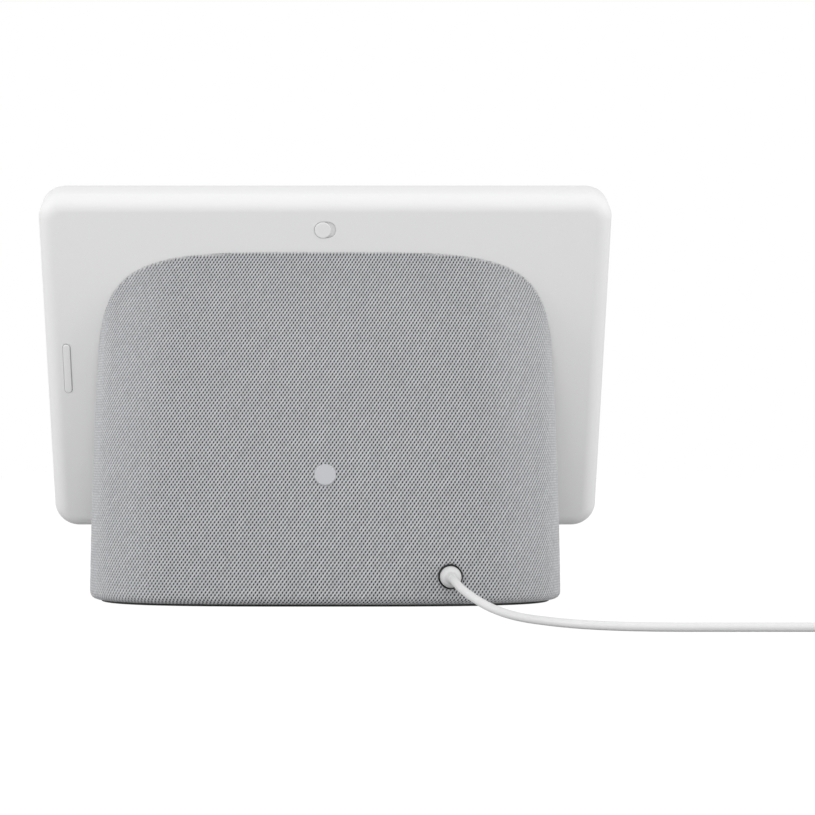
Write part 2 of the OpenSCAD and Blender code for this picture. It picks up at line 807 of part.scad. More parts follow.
cover_glass();
lcd_panel();
backlight_tray();
display_frame();
display_shell();
sensor_board();
camera_module();
camera_lens();
microphones();
light_sensor();
mute_knob();
mute_lever();
mute_switch();
volume_rocker();
rocker_bracket();
volume_board();
antennas();
neck_bracket();
neck_screws();
display_screws();
neck_frame();
display_flex();
main_board();
board_shield();
heat_spreader();
board_screws();
fabric_sleeve();
fabric_carrier();
rear_badge();
speaker_box();
woofer_baffle();
woofer_basket();
woofer_magnet();
woofer_surround();
woofer_cone();
woofer_coil();
tweeter_left_frame();
tweeter_left_dome();
tweeter_right_frame();
tweeter_right_dome();
base_plate();
base_screws();
rubber_foot();
jack_board();
dc_jack();
jack_ring();
dc_plug();
plug_boot();
cord_lead();
cord_coil();
coil_tie();
cord_tail();
power_adapter();
adapter_relief();
adapter_prongs();
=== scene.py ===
# %% [markdown]
# # A smart display on a knitted speaker base
# This notebook dresses a finished CAD model of a smart display: a slab with a touch screen, leaning on
# a speaker base in a knitted sleeve, with a thin white lead to its mains adapter. The CAD gives every
# size and place. Here each visible piece is made again as a smooth surface, worked out with numpy, and
# every piece gets a material that starts from what the real one is made of.

# %% Load the frame
import math
import bmesh
import bpy
import numpy as np
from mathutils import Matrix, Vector
from mathutils.geometry import tessellate_polygon


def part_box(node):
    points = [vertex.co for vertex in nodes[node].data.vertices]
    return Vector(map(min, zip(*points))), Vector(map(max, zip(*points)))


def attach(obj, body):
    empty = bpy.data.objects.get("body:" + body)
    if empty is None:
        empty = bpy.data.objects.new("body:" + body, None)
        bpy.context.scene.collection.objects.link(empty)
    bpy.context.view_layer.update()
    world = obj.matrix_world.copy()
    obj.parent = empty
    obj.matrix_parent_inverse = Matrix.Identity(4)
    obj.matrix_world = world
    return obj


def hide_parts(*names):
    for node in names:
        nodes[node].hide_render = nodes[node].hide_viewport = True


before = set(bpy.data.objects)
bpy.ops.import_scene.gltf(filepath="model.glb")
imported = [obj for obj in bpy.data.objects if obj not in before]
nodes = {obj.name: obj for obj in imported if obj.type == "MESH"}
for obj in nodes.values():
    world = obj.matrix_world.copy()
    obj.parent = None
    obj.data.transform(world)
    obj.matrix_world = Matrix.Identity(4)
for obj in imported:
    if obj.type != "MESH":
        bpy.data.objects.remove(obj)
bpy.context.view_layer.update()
MM = 0.001

# %% [markdown]
# ## Where things are
# The display leans back, so its pieces are easiest to make in the display's own frame: x across, y from
# the glass to the back, s up the slab. The lean is a design angle. The slab's place comes from the
# CAD's cover glass, whose lowest point is its back lower edge and whose foremost point its front one.

# %% The display's own frame
LEAN = math.radians(24)
SLAB_W, SLAB_H, SLAB_T = 250 * MM, 160 * MM, 18 * MM
HALF_T = SLAB_T / 2
GLASS_T, RIM_W = 1.3 * MM, 1.4 * MM
glass_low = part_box("cover_glass")[0]
slab_z = glass_low.z + (GLASS_T - HALF_T) * math.sin(LEAN) - RIM_W * math.cos(LEAN)
slab_y = glass_low.y + HALF_T * math.cos(LEAN) - RIM_W * math.sin(LEAN)


def on_display(local):
    """Turns points (x, y, s) back by the lean about the slab's lower middle edge, then moves them there."""
    x, y, s = np.moveaxis(np.asarray(local, float), -1, 0)
    return np.stack([x, slab_y + y * math.cos(LEAN) + s * math.sin(LEAN),
                     slab_z - y * math.sin(LEAN) + s * math.cos(LEAN)], axis=-1)


def to_display(points):
    """The way back: world points to (x, y, s)."""
    x, y, z = np.moveaxis(np.asarray(points, float), -1, 0)
    y, z = y - slab_y, z - slab_z
    return np.stack([x, y * math.cos(LEAN) - z * math.sin(LEAN),
                     y * math.sin(LEAN) + z * math.cos(LEAN)], axis=-1)


def middle(node):
    low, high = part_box(node)
    return np.array((low + high) / 2)


knob_s = to_display(middle("mute_knob"))[2]
rocker_x, _, rocker_s = to_display(middle("volume_rocker"))
print("slab's lower edge at y %.2f, z %.2f mm" % (slab_y / MM, slab_z / MM))

# %% [markdown]
# ## The camera
# It stands behind the object, level with the middle of the base, and looks straight forward. A long
# lens keeps the sides nearly parallel. The small shift slides the object in the picture without
# turning the camera, so upright edges stay upright.

# %% Camera
camera_data = bpy.data.cameras.new("studio_camera")
camera_data.lens = 92.1
camera_data.sensor_width = 36
camera_data.shift_x, camera_data.shift_y = 0.101, 0.0423
camera = bpy.data.objects.new("studio_camera", camera_data)
camera.location = (0, 930 * MM, 70 * MM)
camera.rotation_euler = (math.radians(90), 0, math.radians(180))
bpy.context.scene.collection.objects.link(camera)
bpy.context.scene.camera = camera
print("camera at", tuple(camera.location), "lens", camera_data.lens)

# %% [markdown]
# ## The lead's path
# The real lead is 1.5 m of round 3.5 mm PVC cable. It leaves the plug's grip straight, falls to the
# table in one easy curve and runs off to the side. The rest is wound into a neat coil beside the
# adapter: three turns side by side, then the next layer on top, one diameter higher. A turn is a
# circle whose radius and height slide to the next slot during its last quarter.

# %% Cord path
LEAD_D = 3.5 * MM
LEAD_ROUTE = np.array([
    [-53, 44, 13], [-53, 53, 13], [-53, 62, 13], [-53, 68, 13], [-53.5, 75, 12.4], [-55, 82, 10.8],
    [-57.5, 89, 8.8], [-61, 96, 6.6], [-65, 103, 4.6], [-69.5, 110, 3.1], [-74, 117.5, 2.2],
    [-78.5, 125, 1.8], [-83, 133, 1.75], [-88, 141, 1.75], [-94, 148, 1.75], [-101, 153.5, 1.75],
    [-109, 157.5, 1.75], [-118, 160, 1.75], [-128, 161.3, 1.75], [-138, 161.5, 1.75],
    [-148, 161.5, 1.75], [-158, 161.5, 1.75], [-168, 161.5, 1.75], [-178, 161.5, 1.75],
    [-188, 161.5, 1.75], [-198, 161.5, 1.75], [-205, 161.5, 1.75], [-212, 161.5, 1.75]]) * MM
TAIL_ROUTE = np.array([
    [-245.5, 128, 12.25], [-245.4, 125, 12.3], [-245.1, 122, 12.45], [-245, 119.5, 12.5],
    [-245, 112, 12.5]]) * MM
COIL_SLOTS = np.array([
    [23.5, 1.75], [20, 1.75], [16.5, 1.75], [16.5, 5.25], [20, 5.25], [23.5, 5.25],
    [20, 8.75], [16.5, 8.75], [16.5, 12.25], [20, 12.25], [23.5, 12.25]]) * MM
TURNS = 10.25
POINTS_A_TURN = 32
coil_middle = middle("cord_coil")


def smooth_step(t):
    """0 below 0, 1 above 1, and three t squared less two t cubed between."""
    t = np.clip(t, 0, 1)
    return t * t * (3 - 2 * t)


def coil_path():
    """A circle about the coil's middle; the slot of whole turn k blends to slot k + 1 in its last third."""
    turn = np.linspace(0, TURNS, int(TURNS * POINTS_A_TURN) + 1)
    k = np.minimum(turn.astype(int), len(COIL_SLOTS) - 2)
    share = smooth_step((turn - k - 0.68) / 0.32)[:, None]
    slot = COIL_SLOTS[k] * (1 - share) + COIL_SLOTS[k + 1] * share
    angle = math.pi / 2 + 2 * math.pi * turn
    return np.stack([coil_middle[0] + slot[:, 0] * np.cos(angle),
                     coil_middle[1] + slot[:, 0] * np.sin(angle), slot[:, 1]], axis=-1)


def through(points, spacing):
    """A smooth curve through the points: cubic pieces, with each point's slope set by its neighbours."""
    step = np.linalg.norm(np.diff(points, axis=0), axis=1)
    at = np.concatenate([[0], np.cumsum(step)])
    slope = np.gradient(points, at, axis=0)
    t = np.linspace(0, at[-1], int(at[-1] / spacing) + 1)
    k = np.clip(np.searchsorted(at, t, side="right") - 1, 0, len(step) - 1)
    h = step[k][:, None]
    u = (t - at[k])[:, None] / h
    return ((1 + 2 * u) * (1 - u) ** 2 * points[k] + u * (1 - u) ** 2 * h * slope[k]
            + u * u * (3 - 2 * u) * points[k + 1] + u * u * (u - 1) * h * slope[k + 1])


coil = coil_path()
cord_line = through(np.concatenate([LEAD_ROUTE, coil[1:-1], TAIL_ROUTE]), 2.5 * MM)
cord_length = np.linalg.norm(np.diff(cord_line, axis=0), axis=1).sum()
print("cord %.3f m in %d points" % (cord_length, len(cord_line)))

# %% [markdown]
# ## Tools for surfaces
# Most pieces here are one outline carried along a profile: the outline says what the piece looks like
# from above, and the profile says how far it is drawn in at each depth. That one idea gives the slab,
# the glass, the buttons, the badge, the plug's grip and the adapter.

# %% Meshes from arrays
def grid_faces(rows, cols, close_cols=False):
    """Four corners for each cell of a grid of points. close_cols joins the last column to the first."""
    r, c = np.meshgrid(np.arange(rows - 1), np.arange(cols if close_cols else cols - 1), indexing="ij")
    d = (c + 1) % cols
    return np.stack([r * cols + c, r * cols + d, (r + 1) * cols + d, (r + 1) * cols + c],
                    axis=-1).reshape(-1, 4)


def mesh_object(name, points, faces, uv=None):
    """An object at the origin from points and faces; uv is one pair for each point."""
    mesh = bpy.data.meshes.new(name)
    mesh.from_pydata(np.asarray(points).reshape(-1, 3).tolist(), [], [list(map(int, f)) for f in faces])
    mesh.shade_smooth()
    if uv is not None:
        corner = np.zeros(len(mesh.loops), np.int32)
        mesh.loops.foreach_get("vertex_index", corner)
        layer = mesh.uv_layers.new(name="knit")
        layer.data.foreach_set("uv", np.asarray(uv)[corner].astype(np.float32).ravel())
    made = bpy.data.objects.new(name, mesh)
    bpy.context.scene.collection.objects.link(made)
    return made


def outward(made, merge=1e-7):
    """Merges doubled points, which closes seams and poles, and turns a closed piece's faces outwards."""
    work = bmesh.new()
    work.from_mesh(made.data)
    bmesh.ops.remove_doubles(work, verts=work.verts, dist=merge)
    bmesh.ops.recalc_face_normals(work, faces=work.faces)
    work.to_mesh(made.data)
    work.free()
    return made


# %% Outlines and profiles
def rounded_outline(width, height, radius, inset=0.0, corner_points=12, side_points=2):
    """A rectangle with quarter circles for corners, drawn in by inset, which shrinks its radius too."""
    r = max(radius - inset, 0.0)
    half = np.array([width / 2 - inset - r, height / 2 - inset - r])
    angle = np.radians(np.linspace(0, 90, corner_points))
    quarter = np.stack([np.cos(angle), np.sin(angle)], axis=-1) * r
    parts = []
    for k in range(4):
        turn = np.array([[0, -1], [1, 0]]) if k % 2 else np.eye(2)
        sign = 1 if k < 2 else -1
        corner = half * [[1, 1], [-1, 1], [-1, -1], [1, -1]][k]
        parts.append(corner + sign * quarter @ turn.T)
    ring = []
    for k in range(4):
        after = parts[(k + 1) % 4][0]
        share = np.linspace(0, 1, side_points + 1)[1:-1, None]
        ring += [parts[k], parts[k][-1] * (1 - share) + after * share]
    return np.concatenate(ring)


def arc(start, end, radius, centre, steps):
    """Points (inset, depth) round part of a circle, in degrees."""
    a = np.radians(np.linspace(start, end, steps))
    return np.stack([centre[0] - radius * np.cos(a), centre[1] + radius * np.sin(a)], axis=-1)


def carried(outline, profile):
    """The outline at each (inset, depth) of the profile, as rows of (across, depth, up)."""
    rows = []
    for inset, depth in profile:
        ring = outline(inset)
        rows.append(np.stack([ring[:, 0], np.full(len(ring), depth), ring[:, 1]], axis=-1))
    return np.array(rows)


def closed_piece(name, rows, place):
    """Rows of points joined into a wall with a flat face at each end, put in place."""
    count, cols = rows.shape[:2]
    ends = range(cols), range((count - 1) * cols, count * cols)
    faces = [*grid_faces(count, cols, close_cols=True), *ends]
    return outward(mesh_object(name, place(rows), faces))


# %% [markdown]
# ## Tools for materials
# A colour is written as the hex value a screen shows, and one function turns it to the linear numbers
# that light is worked out in. One more function adds a node with its settings and its links.

# %% Colours and nodes
MATH, RANGE = "ShaderNodeMath", "ShaderNodeMapRange"


def toLinear(code):
    """Hex sRGB to linear: a short straight part near black, then a power of 2.4."""
    value = np.array([int(code[i:i + 2], 16) for i in (1, 3, 5)]) / 255
    return (*np.where(value <= 0.04045, value / 12.92, ((value + 0.055) / 1.055) ** 2.4), 1.0)


def add(tree, kind, inputs=None, **settings):
    """Adds one node with its settings. An input given as a socket is linked, one given as a node is
    linked to that node's first output, and any other is set."""
    made = tree.nodes.new(kind)
    for name, value in settings.items():
        setattr(made, name, value)
    for name, value in (inputs or {}).items():
        if isinstance(value, bpy.types.Node):
            value = value.outputs[0]
        if isinstance(value, bpy.types.NodeSocket):
            tree.links.new(value, made.inputs[name])
        else:
            made.inputs[name].default_value = value
    return made


def new_material(name, colour, roughness, metallic=0.0, **sockets):
    """A material with one shader, its even values set on the shader's own sockets."""
    material = bpy.data.materials.new(name)
    material.use_nodes = True
    tree = material.node_tree
    shader = tree.nodes["Principled BSDF"]
    shader.inputs["Base Color"].default_value = toLinear(colour)
    shader.inputs["Roughness"].default_value = roughness
    shader.inputs["Metallic"].default_value = metallic
    for key, value in sockets.items():
        shader.inputs[key.replace("_", " ")].default_value = value
    return material, tree, shader


def object_scaled(tree, size):
    """Object coordinates divided by a real size, so that one unit of pattern is that size."""
    place = add(tree, "ShaderNodeTexCoord").outputs["Object"]
    return add(tree, "ShaderNodeMapping", {"Vector": place, "Scale": (1 / size,) * 3}).outputs["Vector"]


def speckle(tree, shader, grain, dark, light, depth, detail=3.0, rough=None):
    """Mottles the colour between two hex values and lifts the surface, both from noise with that grain."""
    where = object_scaled(tree, grain)
    noise = add(tree, "ShaderNodeTexNoise", {"Vector": where, "Scale": 1.0, "Detail": detail})
    ramp = add(tree, "ShaderNodeValToRGB", {"Fac": noise.outputs["Fac"]})
    ramp.color_ramp.elements[0].position, ramp.color_ramp.elements[1].position = 0.3, 0.7
    ramp.color_ramp.elements[0].color, ramp.color_ramp.elements[1].color = toLinear(dark), toLinear(light)
    tree.links.new(ramp.outputs["Color"], shader.inputs["Base Color"])
    bump = add(tree, "ShaderNodeBump", {"Height": noise.outputs["Fac"], "Distance": depth, "Strength": 1.0})
    tree.links.new(bump.outputs["Normal"], shader.inputs["Normal"])
    if rough:
        span = add(tree, RANGE, {"Value": noise.outputs["Fac"], "From Min": 0.3,
                   "From Max": 0.7, "To Min": rough[0], "To Max": rough[1]})
        tree.links.new(span.outputs["Result"], shader.inputs["Roughness"])
    return noise


# %% [markdown]
# ### Moulded plastics
# The slab is moulded from PC/ABS in a tool whose face was spark eroded. That leaves grains of a tenth
# of a millimetre, which scatter the shine into a soft satin. They are too fine to show here, so they
# are drawn three times as coarse and very shallow. The controls are the same plastic, a touch whiter.

# %% Moulded plastics
satin_white, tree, shader = new_material("PC-ABS_spark_eroded_white", "#dfdfdf", 0.6)
speckle(tree, shader, 0.35 * MM, "#dedede", "#e0e0e0", 0.012 * MM, rough=(0.5, 0.6))
control_white, tree, shader = new_material("PC-ABS_satin_white", "#dedede", 0.4)
speckle(tree, shader, 0.3 * MM, "#dedede", "#e2e2e2", 0.008 * MM, rough=(0.36, 0.44))
badge_grey, tree, shader = new_material("ABS_satin_light_grey", "#adaeb2", 0.35)
speckle(tree, shader, 0.25 * MM, "#abacb0", "#afb0b4", 0.008 * MM, rough=(0.3, 0.4))
# This near black is set deep enough to serve also as the painted shade in the inlet's gap.
black_abs, tree, shader = new_material("ABS_moulded_black", "#131314", 0.42)
speckle(tree, shader, 0.4 * MM, "#111112", "#161617", 0.015 * MM, rough=(0.36, 0.5))
grey_nylon, tree, shader = new_material("nylon_glass_filled_grey", "#5d5f61", 0.6)
speckle(tree, shader, 0.8 * MM, "#57595b", "#636567", 0.03 * MM, detail=5.0, rough=(0.5, 0.68))
cream_abs, tree, shader = new_material("PBT_switch_body_cream", "#cdccc8", 0.5)
speckle(tree, shader, 0.4 * MM, "#c8c7c3", "#d1d0cc", 0.01 * MM)
adapter_white, tree, shader = new_material("PC_spark_eroded_white", "#e6e6e6", 0.5)
speckle(tree, shader, 0.4 * MM, "#e3e3e3", "#e9e9e9", 0.014 * MM, rough=(0.45, 0.56))

# %% [markdown]
# The lead's jacket and the plug's grip are soft white PVC, drawn over the wires through a heated die
# and moulded round the plug. It is smooth, with a faint waviness of a few millimetres along it.

# %% Cable jacket, rubber and strap
pvc_white, tree, shader = new_material("PVC_extruded_white", "#d8d8d8", 0.42)
speckle(tree, shader, 2.5 * MM, "#d7d7d7", "#d9d9d9", 0.004 * MM, detail=1.0, rough=(0.38, 0.46))
grip_white, tree, shader = new_material("PVC_moulded_white", "#cecece", 0.45)
speckle(tree, shader, 0.5 * MM, "#cccccc", "#d0d0d0", 0.008 * MM, rough=(0.4, 0.5))
# Painted shade: the foot's dark greenish grey is partly the silicone's own grey and partly the shade under
# the base.
foot_rubber_and_shade, tree, shader = new_material("silicone_rubber_moulded_grey", "#50524f", 0.75)
speckle(tree, shader, 0.6 * MM, "#4b4d4a", "#565855", 0.02 * MM)
butyl, tree, shader = new_material("butyl_rubber_moulded_black", "#131313", 0.6)
speckle(tree, shader, 0.5 * MM, "#111111", "#171717", 0.01 * MM)
strap_velour, tree, shader = new_material("nylon_hook_and_loop_grey", "#3d3e40", 0.9, Sheen_Weight=0.5)
speckle(tree, shader, 0.35 * MM, "#2c2d2f", "#4c4d50", 0.12 * MM, detail=6.0)

# %% [markdown]
# ### Metals, boards and films inside
# These are seen only when the case is opened, yet each still gets the look of its own making: rolled
# steel has fine lines, cast aluminium a sandy skin, and a circuit board is green lacquer over copper.

# %% Metals
def rolled(name, colour, roughness, line=0.25 * MM):
    """Sheet metal from the rolls: noise stretched forty times along x gives its fine lines."""
    material, tree, shader = new_material(name, colour, roughness, 1.0)
    place = add(tree, "ShaderNodeTexCoord").outputs["Object"]
    where = add(tree, "ShaderNodeMapping", {"Vector": place, "Scale": (0.025 / line, 1 / line, 1 / line)})
    noise = add(tree, "ShaderNodeTexNoise", {"Vector": where, "Scale": 1.0, "Detail": 3.0})
    span = add(tree, RANGE, {"Value": noise.outputs["Fac"], "To Min": roughness * 0.7,
               "To Max": roughness * 1.3})
    tree.links.new(span.outputs["Result"], shader.inputs["Roughness"])
    bump = add(tree, "ShaderNodeBump", {"Height": noise.outputs["Fac"], "Distance": 0.01 * MM})
    tree.links.new(bump.outputs["Normal"], shader.inputs["Normal"])
    return material


zinc_sheet = rolled("steel_zinc_plated_rolled", "#b9bbbe", 0.32)
dark_screw = rolled("steel_screw_black_zinc", "#6a6b6e", 0.35, 0.12 * MM)
tray_sheet = rolled("aluminium_sheet_rolled", "#cfd1d3", 0.28)
nickel = rolled("brass_nickel_plated", "#c9c6bf", 0.18, 0.15 * MM)
copper_wire = rolled("copper_wire_enamelled", "#b8733a", 0.3, 0.3 * MM)
copper_film = rolled("copper_film_on_backing", "#c08a58", 0.34)
gold_can = rolled("steel_gold_plated_can", "#cdb26a", 0.25)
cast_alloy, tree, shader = new_material("aluminium_die_cast", "#a3a6aa", 0.5, 1.0)
speckle(tree, shader, 0.6 * MM, "#9a9da1", "#acafb3", 0.03 * MM, detail=5.0, rough=(0.42, 0.6))
ferrite, tree, shader = new_material("ferrite_sintered_dark", "#3a3a3d", 0.7, 0.2)
speckle(tree, shader, 0.5 * MM, "#333336", "#424245", 0.03 * MM, detail=5.0)

# %% Boards, films, paper and glass
board_green, tree, shader = new_material("FR4_board_green_lacquer", "#14502e", 0.3, Coat_Weight=0.4)
cells = add(tree, "ShaderNodeTexBrick", {"Vector": object_scaled(tree, 5.0 * MM), "Scale": 1.0,
            "Color1": toLinear("#0f4526"), "Color2": toLinear("#17572f"), "Mortar": toLinear("#2f7a46"),
            "Mortar Size": 0.05, "Brick Width": 0.6, "Row Height": 0.3})
tree.links.new(cells.outputs["Color"], shader.inputs["Base Color"])
amber_film, tree, shader = new_material("polyimide_film_amber", "#c17a2b", 0.35)
speckle(tree, shader, 1.2 * MM, "#b06c22", "#cc8836", 0.01 * MM)
pulp_cone, tree, shader = new_material("paper_pulp_pressed_dark", "#3b3a3a", 0.85)
speckle(tree, shader, 0.9 * MM, "#343333", "#454444", 0.05 * MM, detail=6.0)
silk_dome, tree, shader = new_material("silk_coated_grey", "#8c8d91", 0.6, Sheen_Weight=0.3)
speckle(tree, shader, 0.3 * MM, "#828387", "#97989c", 0.03 * MM)
panel_dark, tree, shader = new_material("LCD_panel_polariser_dark", "#15171b", 0.25)
speckle(tree, shader, 0.8 * MM, "#131519", "#181a1f", 0.004 * MM)
lens_glass, tree, shader = new_material("optical_glass_coated", "#0b0b14", 0.05, Coat_Weight=1.0)
speckle(tree, shader, 3.0 * MM, "#090912", "#10101c", 0.001 * MM, detail=1.0)
print("materials so far:", len(bpy.data.materials))

# %% [markdown]
# ## The knitted sleeve
# The base is a rounded block that grows thinner as it rises. Seen from above, each level is a
# superellipse: |x / a| to the power n plus |y / b| to the power n makes one. Its half width a, its
# middle and its back shift a little with height. The sleeve is knitted as a tube, so it has the same
# number of stitches all the way up, and they are narrower where the base is.

# %% The base's form
BASE_W, BASE_BACK, BASE_FRONT = 208.6 * MM, 51.2 * MM, -38 * MM
SLEEVE_LOW, LOWER_EDGE_R = 1.2 * MM, 3 * MM


def back_wall(z):
    """The y of the back: it leans in by 0.14 of the height, and a little more as it rises."""
    return BASE_BACK - 0.14 * z - 0.4 * z * z


def wall_lean(z):
    return math.atan(0.14 + 0.8 * z)


def level_ring(z, inset, turn):
    """A superellipse about (0, middle), in polar form, so that equal steps of turn stay even."""
    n = 3.3 + 5.7 * z
    half_w = BASE_W / 2 - 0.23 * z * z
    middle_y = -8 * MM - 0.16 * z + 0.7 * z * z
    c, s = np.cos(turn), np.sin(turn)
    half_d = np.where(s > 0, back_wall(z) - middle_y, middle_y - BASE_FRONT)
    far = (np.abs(c) ** n + np.abs(s) ** n) ** (-1 / n)
    return np.stack([(half_w - inset) * far * c, middle_y + (half_d - inset) * far * s,
                     z + 0 * turn], axis=-1)


dense_turn = np.linspace(-math.pi / 2, 1.5 * math.pi, 4097)
low_ring = level_ring(np.array([8.6 * MM])[:, None], 0, dense_turn)[0]
around = np.linalg.norm(np.diff(low_ring, axis=0), axis=1).sum()
STITCH_W, ROW_H = 1.634 * MM, 1.15 * MM
stitches = round(around / STITCH_W)
print("%.0f mm round the base, %d stitches" % (around / MM, stitches))

# %% [markdown]
# The knit is a lattice of small dark holes with ridges of thread between them. Every other grid point
# is a hole's floor and the rest are the tops of the threads, like the two colours of a chessboard.
# Each cell is split along the line that joins its two thread tops, so the ridges run both ways
# without a break. The points go up the wall in steps of one row, measured along the cloth.

# %% Rows of the knit
TUCK = 11 * MM
HOLE_DEPTH, THREAD_RISE = 0.6 * MM, 0.1 * MM
heights = np.linspace(SLEEVE_LOW + LOWER_EDGE_R, 165 * MM, 800)
up_wall = np.concatenate([[0], np.cumsum(np.hypot(np.diff(heights), np.diff(back_wall(heights))))])
flat_run, roll_run = TUCK - LOWER_EDGE_R, LOWER_EDGE_R * math.pi / 2
row_at = np.arange(0, flat_run + roll_run + up_wall[-1], ROW_H)
roll_angle = np.clip((row_at - flat_run) / LOWER_EDGE_R, 0, math.pi / 2)
row_z = np.where(row_at < flat_run + roll_run, SLEEVE_LOW + LOWER_EDGE_R * (1 - np.cos(roll_angle)),
                 np.interp(row_at - flat_run - roll_run, up_wall, heights))
row_inset = np.maximum(TUCK - row_at, LOWER_EDGE_R * (1 - np.sin(roll_angle)))
row_inset = np.where(roll_angle >= math.pi / 2, 0, row_inset)

sleeve = []
for z, inset in zip(row_z, row_inset):
    ring = level_ring(np.array(z), inset, dense_turn)
    run = np.concatenate([[0], np.cumsum(np.linalg.norm(np.diff(ring, axis=0), axis=1))])
    even = np.linspace(0, run[-1], 2 * stitches + 1)
    sleeve.append(np.stack([np.interp(even, run, ring[:, k]) for k in range(3)], axis=-1))
sleeve = np.array(sleeve)
print("sleeve grid", sleeve.shape[:2])

# %% Threads and holes
along = np.roll(sleeve, -1, axis=1) - np.roll(sleeve, 1, axis=1)
along[:, 0] = along[:, -1] = sleeve[:, 1] - sleeve[:, -2]
across = np.gradient(sleeve, axis=0)
out = np.cross(along, across)
out /= np.linalg.norm(out, axis=-1, keepdims=True)
row, col = np.meshgrid(np.arange(sleeve.shape[0]), np.arange(sleeve.shape[1]), indexing="ij")
is_hole = (row + col) % 2 == 0
wobble = np.random.default_rng(7).normal(0, 0.035, sleeve.shape[:2]) * MM
wobble[:, -1] = wobble[:, 0]
fade = smooth_step((row_at - flat_run) / (2 * ROW_H))[:, None]
lift = (np.where(is_hole, -HOLE_DEPTH, THREAD_RISE) + wobble) * fade
knit_points = sleeve + out * lift[..., None]
knit_uv = np.stack([(col + row) / 2, (col - row) / 2], axis=-1).reshape(-1, 2)

corner = grid_faces(*sleeve.shape[:2])
hole_first = is_hole.reshape(-1)[corner[:, 0]]
split = np.where(hole_first[:, None], corner[:, [0, 1, 3, 1, 2, 3]], corner[:, [0, 1, 2, 0, 2, 3]])
triangles = split.reshape(-1, 3)

# %% [markdown]
# The finished tube is trimmed where the display sits in it, along the display's back plane and its
# lower edge, and round the power inlet. Every cut edge gets a hem, a narrow strip turned in towards
# the carrier.

# %% Trim and hem
DISPLAY_GAP = 0.3 * MM
inlet = middle("jack_ring")
INLET_R = 5.25 * MM
flat_points = knit_points.reshape(-1, 3)
local = to_display(flat_points)
room = (local[:, 1] < HALF_T - 3 * MM) & (local[:, 2] > 3 * MM)
keep = ~room[triangles].all(axis=1)
from_inlet = np.hypot(flat_points[:, 0] - inlet[0], flat_points[:, 2] - inlet[2])
in_hole = (from_inlet < INLET_R) & (flat_points[:, 1] > 0)
keep &= ~in_hole[triangles].all(axis=1)
spread = INLET_R / np.maximum(from_inlet, 1e-6)
for k in (0, 2):
    pushed = inlet[k] + (flat_points[:, k] - inlet[k]) * spread
    flat_points[:, k] = np.where(in_hole, pushed, flat_points[:, k])
sleeve_piece = mesh_object("knitted_sleeve", flat_points, triangles[keep], knit_uv)

work = bmesh.new()
work.from_mesh(sleeve_piece.data)
planes = [on_display([[0, HALF_T + DISPLAY_GAP, 0]])[0], on_display([[0, 0, -DISPLAY_GAP]])[0]]
normals = [on_display([[0, 1, 0]])[0] - on_display([[0, 0, 0]])[0],
           on_display([[0, 0, -1]])[0] - on_display([[0, 0, 0]])[0]]
for point, normal in zip(planes, normals):
    everything = work.verts[:] + work.edges[:] + work.faces[:]
    bmesh.ops.bisect_plane(work, geom=everything, dist=1e-7, plane_co=point, plane_no=normal)
centres = to_display([f.calc_center_median() for f in work.faces])
cut = (centres[:, 1] < HALF_T + DISPLAY_GAP) & (centres[:, 2] > -DISPLAY_GAP)
bmesh.ops.delete(work, geom=[f for f, c in zip(work.faces[:], cut) if c], context="FACES")
bmesh.ops.remove_doubles(work, verts=work.verts, dist=1e-6)
rim = [e for e in work.edges if e.is_boundary]
work.normal_update()
hem = bmesh.ops.extrude_edge_only(work, edges=rim)["geom"]
turned = [v for v in hem if isinstance(v, bmesh.types.BMVert)]
for v in turned:
    outer = [e.other_vert(v) for e in v.link_edges if e.other_vert(v) not in turned]
    v.co -= (outer[0].normal if outer else v.normal) * 0.9 * MM
work.to_mesh(sleeve_piece.data)
work.free()
sleeve_piece.data.shade_smooth()
print("knitted sleeve:", len(sleeve_piece.data.polygons), "faces")

# %% [markdown]
# ### Knitted polyester
# The yarn is polyester in two greys, twisted and knitted on a circular machine. The map on the sleeve
# counts stitches along its two diagonals, so the holes fall on whole numbers. A cosine along each
# diagonal draws the threads: one family is a bright yarn on top, the other a duller one below. Each
# thread's brightness varies a little along its length, as real yarn does. The holes are painted near
# black: partly the dark inside seen through them, partly painted shade in each hole. Where a cloth turns
# away from the eye its threads hide its holes and it looks lighter. The grid is too coarse to do that by
# itself, so the holes' painted shade is made paler round the two narrow ends, from every side: painted
# light on the sides.

# %% Knit material
knit, tree, shader = new_material("polyester_circular_knit_grey", "#b9bbbd", 0.85, Sheen_Weight=1.0,
                            Sheen_Roughness=0.2)
TURN = 2 * math.pi
HOLE_EDGES, SIDE_LIGHT_FROM, SIDE_LIGHT_TO, HOLE_SHADE_AT_SIDES = (0.05, 0.62), 0.72, 0.95, 0.5
uv = add(tree, "ShaderNodeUVMap", uv_map="knit")
parts = add(tree, "ShaderNodeSeparateXYZ", {"Vector": uv})
stitch_a, stitch_b = parts.outputs["X"], parts.outputs["Y"]
waves = []
for stitch in (stitch_a, stitch_b):
    angle = add(tree, MATH, {0: stitch, 1: TURN}, operation="MULTIPLY")
    waves.append(add(tree, MATH, {0: angle}, operation="COSINE"))
wave_a, wave_b = waves
both = add(tree, MATH, {0: wave_a, 1: wave_b}, operation="ADD")
mean = add(tree, MATH, {0: both, 1: 0.5}, operation="MULTIPLY")
gap = add(tree, RANGE, {"Value": mean, "From Min": HOLE_EDGES[0], "From Max": HOLE_EDGES[1]},
          interpolation_type="SMOOTHSTEP")
